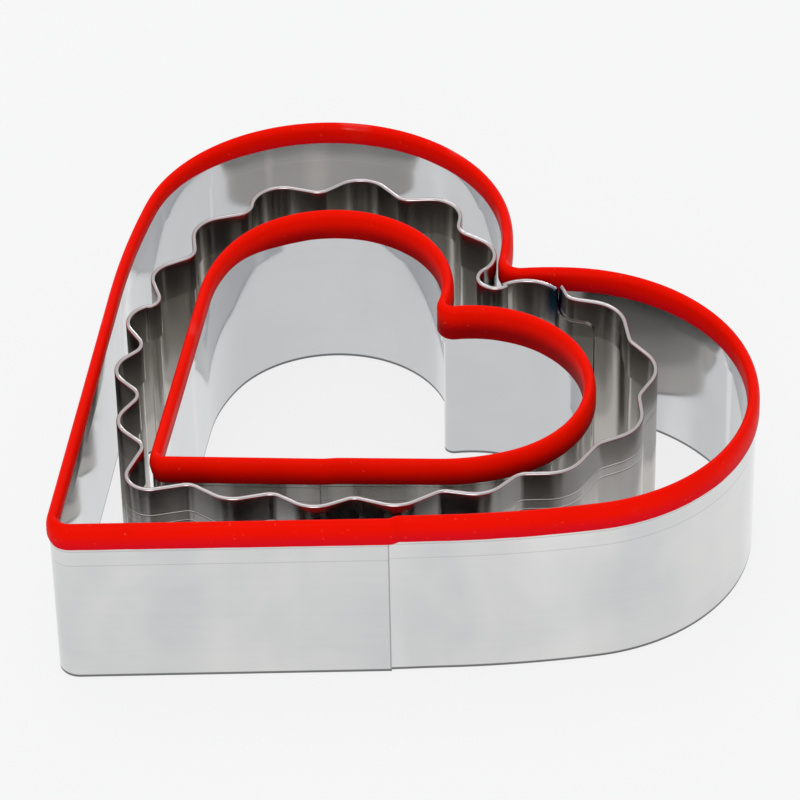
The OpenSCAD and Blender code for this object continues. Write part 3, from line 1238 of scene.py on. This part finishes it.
@dataclass(kw_only=True)
class PlainCutter(Cutter):
    """A plain heart with a lapped strip and a red grip pushed over its folded top."""

    DOME_PARTS = 10

    label: str
    line: HeartLine

    # Distance of the seam from the tip's corner, the lap there, and the grip's step past it
    seam: float = 42.4
    lap: float = 6.0
    ramp: float = 1.3
    step: float = 0.5

    # Depth of the hem, the grip over the fold, and its section round the strip
    hem: float = 5.4
    roof: float = 0.7
    grip_width: float = 1.46
    grip_outer: float = 3.65
    grip_inner: float = 3.4
    bulge: float = 0.1
    lip: float = 0.2
    dome_outer: float = 2.0
    dome_inner: float = 1.1
    slot_gap: float = 0.02
    slot_play: float = 0.05

    # How far the lips are drawn up, how far below the top that starts, and what is uneven
    inner_lift: float = 1.15
    outer_lift: float = 0.6
    lift_below: float = 2.2
    waver: float = 0.05
    waver_scale: float = 45.0
    ripple: float = 0.25
    seed: int = 3

    def grip_profile(self) -> list[Point]:
        """Profile of the grip: a dome on two legs with rounded lips round the strip's slot."""
        top, lip = self.height, self.lip
        front_r = self.grip_width / 2
        back_r = front_r + self.bulge
        outer, inner = top - self.grip_outer, top - self.grip_inner
        angles = [math.pi / 2 * i / self.DOME_PARTS for i in range(self.DOME_PARTS + 1)]
        turn = [(math.cos(a), math.sin(a)) for a in angles]
        front = [(front_r * c, top - self.dome_outer + self.dome_outer * s) for c, s in turn]
        back = [(-back_r * s, top - self.dome_inner + self.dome_inner * c) for c, s in turn]
        outer_lip = [(front_r - lip + lip * s, outer + lip - lip * c) for c, s in turn[::2]]
        inner_lip = [(-back_r + lip - lip * c, inner + lip - lip * s) for c, s in turn[::2]]
        slot = self.strip + self.slot_gap
        back_slot = -slot - self.slot_play
        roof = top - self.roof + self.slot_gap
        inside = [(back_slot, inner), (back_slot, roof), (slot, roof), (slot, outer)]
        return outer_lip + front + back[1:] + inner_lip + inside

    def build(self, sweep: Sweep, steel: bpy.types.Material, red: bpy.types.Material) -> None:
        """Makes the strip and the grip.

        Args:
            sweep: The sweep tree.
            steel: Finish of the strip.
            red: Finish of the grip.
        """
        path = self.line.lapped(self.seam, self.lap, self.strip)
        profile = self.folded(self.height - self.roof, self.hem)
        shared = {"Waver Scale": self.waver_scale, "Seed": self.seed}
        sizes = {**shared, "Waver": self.waver * MM}
        band = sweep.make(self.label + "_strip", path, False, profile, self.place, steel, sizes)
        self.keep(band, Slot.SATIN, self.label + "_band")
        ring = self.line.ringed(self.seam, self.ramp, self.step)
        profile = self.grip_profile()
        sizes = {
            **shared,
            "Lip Waver": self.ripple * MM,
            "Lip Top": (self.height - self.lift_below) * MM,
            "Inner Lift": self.inner_lift * MM,
            "Outer Lift": self.outer_lift * MM,
        }
        grip = sweep.make(self.label + "_edge_grip", ring, True, profile, self.place, red, sizes)
        self.keep(grip, Slot.RED, self.label + "_grip")


@dataclass(kw_only=True)
class FlutedCutter(Cutter):
    """The fluted heart, whose strip ends meet at a seam with a tab inside it."""

    TAB_ROWS = 14
    TAB_PITCH = 0.25

    line: FlutedLine
    seam_at: Point
    hem: float = 5.8

    # The tab inside the seam: its size, its slide inward, its corner, and its rise at the root
    tab_length: float = 6.0
    tab_top: float = 21.4
    tab_slide: float = 1.1
    tab_corner: float = 1.3
    tab_gap: float = 0.03
    root_rise: float = 3.2
    root_length: float = 1.4

    # The raised corner of the outer end, and the waver of the flutes
    flare: float = 0.9
    flare_length: float = 2.6
    flare_from: float = 18.5
    waver: float = 0.09
    waver_scale: float = 130.0
    seed: int = 11

    def build(self, sweep: Sweep, steel: bpy.types.Material) -> None:
        """Makes the strip and its tab.

        Args:
            sweep: The sweep tree.
            steel: Finish of both.
        """
        path = self.line.opened(self.seam_at)
        profile = self.folded(self.height, self.hem)
        sizes = {
            "Waver": self.waver * MM,
            "Waver Scale": self.waver_scale,
            "Seed": self.seed,
            "Flare": self.flare * MM,
            "Flare Length": self.flare_length * MM,
            "Flare From": self.flare_from * MM,
            "Height": self.height * MM,
        }
        band = sweep.make("fluted_strip", path, False, profile, self.place, steel, sizes)
        self.keep(band, Slot.BRIGHT, "fluted_band")
        self.keep(self.tab(path, steel), Slot.BRIGHT)

    def tab(self, path: list[Station], steel: bpy.types.Material) -> bpy.types.Object:
        """The single layer of the left end that runs on inside the right one.

        Args:
            path: The strip's line from its seam to its seam.
            steel: Its finish.

        Returns:
            The tab.
        """
        track = self._track(path[::-1])
        column = 2 * (self.TAB_ROWS + 1)
        mesh = bpy.data.meshes.new("fluted_tab")
        mesh.from_pydata(self._tab_points(track), [], self._tab_faces(len(track)))
        layer = mesh.uv_layers.new(name="UVMap")
        for loop in mesh.loops:
            index = loop.vertex_index
            run = track[index // column][0] * MM
            layer.data[loop.index].uv = (run, mesh.vertices[index].co.z)
        mesh.materials.append(steel)
        return settle("fluted_tab", mesh)

    def _track(self, path: list[Station]) -> list[tuple[float, Station]]:
        """Close stations along a line, for the length of the tab.

        Args:
            path: Stations from the seam on.

        Returns:
            Distance from the seam and station of each.
        """
        found, run = [(0.0, path[0])], 0.0
        for a, b in zip(path, path[1:]):
            span = (Vector(b.at) - Vector(a.at)).length
            if span < TINY:
                continue
            steps = max(1, math.ceil(span / self.TAB_PITCH))
            turn = (b.heading - a.heading + 180) % 360 - 180
            for i in range(1, steps + 1):
                share = i / steps
                if run + span * share > self.tab_length:
                    return found
                at = tuple(Vector(a.at).lerp(Vector(b.at), share))
                found.append((run + span * share, Station(at, a.heading + turn * share)))
            run += span
        return found

    def _tab_points(self, track: list[tuple[float, Station]]) -> list[Vector]:
        """Points of the tab's two skins, which slide inside the strip past the seam.

        Args:
            track: Distance from the seam and station of each column.

        Returns:
            The points, column by column and from the foot up, with the inner skin first.
        """
        matrix, t, r = self.place.matrix(), self.strip, self.tab_corner
        points = []
        for run, station in track:
            slide = min(1.0, max(0.0, run / self.tab_slide))
            inset = -t - t * (slide * slide * (3 - 2 * slide))
            left = self.tab_length - run
            corner = r - math.sqrt(max(0.0, r**2 - max(0.0, r - left) ** 2))
            root = self.root_rise * max(0.0, 1.0 - run / self.root_length) ** 2
            top = self.tab_top - corner + root
            for skin in (inset, inset + t - self.tab_gap):
                at = station.moved(skin).at
                heights = [top * k / self.TAB_ROWS for k in range(self.TAB_ROWS + 1)]
                points += [matrix @ Vector((*at, z)) * MM for z in heights]
        return points

    def _tab_faces(self, columns: int) -> list[tuple[int, ...]]:
        """Faces of the tab: its two skins, its top, its foot and its ends.

        Args:
            columns: Number of columns of points.

        Returns:
            The corners of each face.
        """
        rows = self.TAB_ROWS
        n = rows + 1
        last = 2 * n * (columns - 1)
        faces = []
        for a in range(0, last, 2 * n):
            b = a + 2 * n
            for k in range(rows):
                faces.append((a + k, a + k + 1, b + k + 1, b + k))
                faces.append((a + n + k, b + n + k, b + n + k + 1, a + n + k + 1))
            faces.append((a + rows, a + n + rows, b + n + rows, b + rows))
            faces.append((a, b, b + n, a + n))
        faces += [(k, n + k, n + k + 1, k + 1) for k in range(rows)]
        faces += [(last + k + 1, last + n + k + 1, last + n + k, last + k) for k in range(rows)]
        return faces


# Setting


@dataclass(frozen=True)
class Lamp:
    """A soft square lamp: its place and aim in metres, its side in metres and its watts."""

    name: str
    at: Triple
    aim: Triple
    size: float
    watts: float

    def build(self) -> None:
        """Adds the lamp."""
        data = bpy.data.lights.new(self.name, "AREA")
        data.size, data.energy = self.size, self.watts
        lamp = bpy.data.objects.new(self.name, data)
        lamp.location = self.at
        look = Vector(self.aim) - Vector(self.at)
        lamp.rotation_euler = look.to_track_quat("-Z", "Y").to_euler()
        bpy.context.scene.collection.objects.link(lamp)


LAMPS = (
    Lamp("top_light", at=(-0.25, 0.1, 0.8), aim=(0, 0, 0), size=0.6, watts=1.3),
    Lamp("front_light", at=(0.55, -0.6, 0.35), aim=(0, 0, 0.02), size=0.4, watts=1.6),
    Lamp("back_light", at=(-0.53, 0.69, 0.26), aim=(0, 0, 0.02), size=0.1, watts=0.7),
)


@dataclass(frozen=True)
class Studio:
    """Pale floor, soft light and the camera at the photograph's place."""

    # The floor: half its side and its drop below the cutters in metres, and its shades
    floor_half: float = 3.0
    floor_drop: float = 2e-5
    floor_shade: float = 0.913
    floor_albedo: float = 0.78
    floor_glow: float = 0.85
    floor_bright: float = 0.95

    # Brightness and tint of the light from all round
    sky: float = 0.82
    sky_tint: Triple = (0.97, 1.0, 1.04)

    # The camera: its place and lens in millimetres, and its direction in degrees
    camera_at: Triple = (350.17, -297.14, 384.10)
    azimuth: float = 48.495
    elevation: float = 38.45
    roll: float = -1.123
    lens: float = 202.5
    sensor: float = 36.0

    @staticmethod
    def _seen(net: Net) -> Sock:
        """1 for the rays that show the background: straight, mirrored or through something clear."""
        path = net.add("ShaderNodeLightPath", out="Is Camera Ray")
        outputs = path.socket.node.outputs
        return path + Sock(net, outputs["Is Glossy Ray"]) + Sock(net, outputs["Is Transmission Ray"])

    def floor(self) -> None:
        """Makes the floor, which shows its own pale colour to the camera and keeps the shadow."""
        mesh = bpy.data.meshes.new("floor")
        s, z = self.floor_half, -self.floor_drop
        mesh.from_pydata([(-s, -s, z), (s, -s, z), (s, s, z), (-s, s, z)], [], [(0, 1, 2, 3)])
        floor = bpy.data.objects.new("floor", mesh)
        bpy.context.scene.collection.objects.link(floor)
        material, net, shader = new_material("floor_paper")
        material.node_tree.nodes.remove(shader)
        albedo, bright = ((value,) * 3 + (1,) for value in (self.floor_albedo, self.floor_bright))
        paper = net.add("ShaderNodeBsdfDiffuse", None, {"Color": albedo})
        glow = net.add("ShaderNodeEmission", None, {"Color": bright, "Strength": 1.0})
        share = self._seen(net) * self.floor_glow
        both = net.add("ShaderNodeMixShader", None, {0: share, 1: paper, 2: glow})
        net.feed(material.node_tree.nodes["Material Output"].inputs["Surface"], both)
        mesh.materials.append(material)

    def world(self) -> None:
        """Makes the world: even, slightly cool light, and the floor's shade where it is seen."""
        world = bpy.data.worlds.new("studio")
        world.use_nodes = True
        bpy.context.scene.world = world
        net = Net(world.node_tree)
        sky = tuple(self.sky * c for c in self.sky_tint)
        light = net.mix(self._seen(net), sky, (self.floor_shade,) * 3)
        net.feed(world.node_tree.nodes["Background"].inputs["Color"], light)

    def camera(self) -> None:
        """Places the camera as it stood for the photograph."""
        data = bpy.data.cameras.new("camera")
        data.lens, data.sensor_width = self.lens, self.sensor
        camera = bpy.data.objects.new("camera", data)
        turn = Matrix.Rotation(math.radians(self.azimuth), 4, "Z")
        turn = turn @ Matrix.Rotation(math.radians(90 - self.elevation), 4, "X")
        turn = turn @ Matrix.Rotation(math.radians(self.roll), 4, "Z")
        camera.matrix_world = Matrix.Translation(Vector(self.camera_at) * MM) @ turn
        bpy.context.scene.collection.objects.link(camera)
        bpy.context.scene.camera = camera

    def build(self) -> None:
        """Builds the whole setting."""
        self.floor()
        self.world()
        for lamp in LAMPS:
            lamp.build()
        self.camera()
        bpy.context.scene.view_settings.view_transform = "Standard"


# Sizes of this set

LARGE_LINE = HeartLine(
    angle=41,
    side=48.9,
    shoulder_r=134,
    shoulder_sweep=8.6,
    lobe_r=24.8,
    lobe_sweep=164.5,
    inner_r=40,
    cleft_r=2.2,
    tip_r=2.4,
)
SMALL_LINE = HeartLine(
    angle=41.8,
    side=36,
    shoulder_r=24.7,
    shoulder_sweep=23.4,
    lobe_r=15.9,
    lobe_sweep=75.4,
    inner_r=15.5,
    cleft_r=1.3,
    tip_r=1.3,
)

# Mean line between the crests and the valleys of the flutes
FLUTED_MEAN = HeartLine(
    angle=53.4,
    side=17.3,
    shoulder_r=55.4,
    shoulder_sweep=40.9,
    lobe_r=20.8,
    lobe_sweep=96.5,
    inner_r=17.8,
    cleft_r=1.7,
    tip_r=2.5,
)

# Distance from the large heart's tip corner to the middle of its box
MIDDLE = 46.1816
LARGE_PLACE = Place(0, -MIDDLE, 0)
FLUTED_PLACE = Place(0.8, 13.3443 - MIDDLE, 0.2)
SMALL_PLACE = Place(-1.4, 18.1443 - MIDDLE, -2.3)

# Place of the fluted strip's seam in the set
FLUTED_SEAM = (8.1, 33.4, 0)

SATIN = StripSteel(
    "satin_strip",
    colour=(0.735, 0.735, 0.72),
    roughness=0.05,
    grain=0.015,
    marks=(20.9, 18.6),
    mark_depth=0.35,
    dull=0.05,
)
BRIGHT = StripSteel(
    "bright_strip",
    colour=(0.57, 0.545, 0.515),
    roughness=0.19,
    grain=0.02,
    marks=(20.7, 19.25),
    mark_depth=0.5,
    dull=0.03,
    # The pale marks are a painted highlight along the roller marks
    mark_colour=(0.85, 0.84, 0.83),
    rim_from=24.6,
    rim_colour=(0.45, 0.42, 0.425),
    tint_at=(7.9, 33.3, 22.8),
    inside=(0.52, 0.495, 0.465),
    groove=0.45,
    fold_dark=0.3,
)
RED = RedVinyl("red_vinyl", colour=(0.84, 0.005, 0.0), lip_shade_colour=(0.62, 0.003, 0.012))
# The small grip's red, with a much darker painted shade towards its lower lip
SHADED_RED = RedVinyl("red_vinyl_small_shaded", colour=(0.86, 0.006, 0.0), lip_shade_colour=(0.26, 0.001, 0.002))


def main() -> None:
    """Builds the three cutters, from the outside in, and their setting."""
    logging.basicConfig(level=logging.INFO, format="%(name)s: %(message)s")
    sweep = Sweep()
    satin, bright, red, shaded_red = SATIN.build(), BRIGHT.build(), RED.build(), SHADED_RED.build()
    large = PlainCutter("large_cutter", LARGE_PLACE, label="large", line=LARGE_LINE)
    large.build(sweep, satin, red)
    seam = FLUTED_PLACE.matrix().inverted() @ Vector(FLUTED_SEAM)
    fluted = FlutedCutter(
        "fluted_cutter",
        FLUTED_PLACE,
        strip=0.3,
        line=FlutedLine(FLUTED_MEAN),
        seam_at=(seam.x, seam.y),
    )
    fluted.build(sweep, bright)
    small = PlainCutter(
        "small_cutter",
        SMALL_PLACE,
        label="small",
        line=SMALL_LINE,
        seam=21.3,
        ramp=2.5,
        grip_inner=5.0,
        inner_lift=2.1,
        outer_lift=1.45,
        step=0.2,
        seed=5,
    )
    small.build(sweep, satin, shaded_red)
    Studio().build()
    bpy.data.node_groups.remove(sweep.tree)


if __name__ == "__main__":
    main()
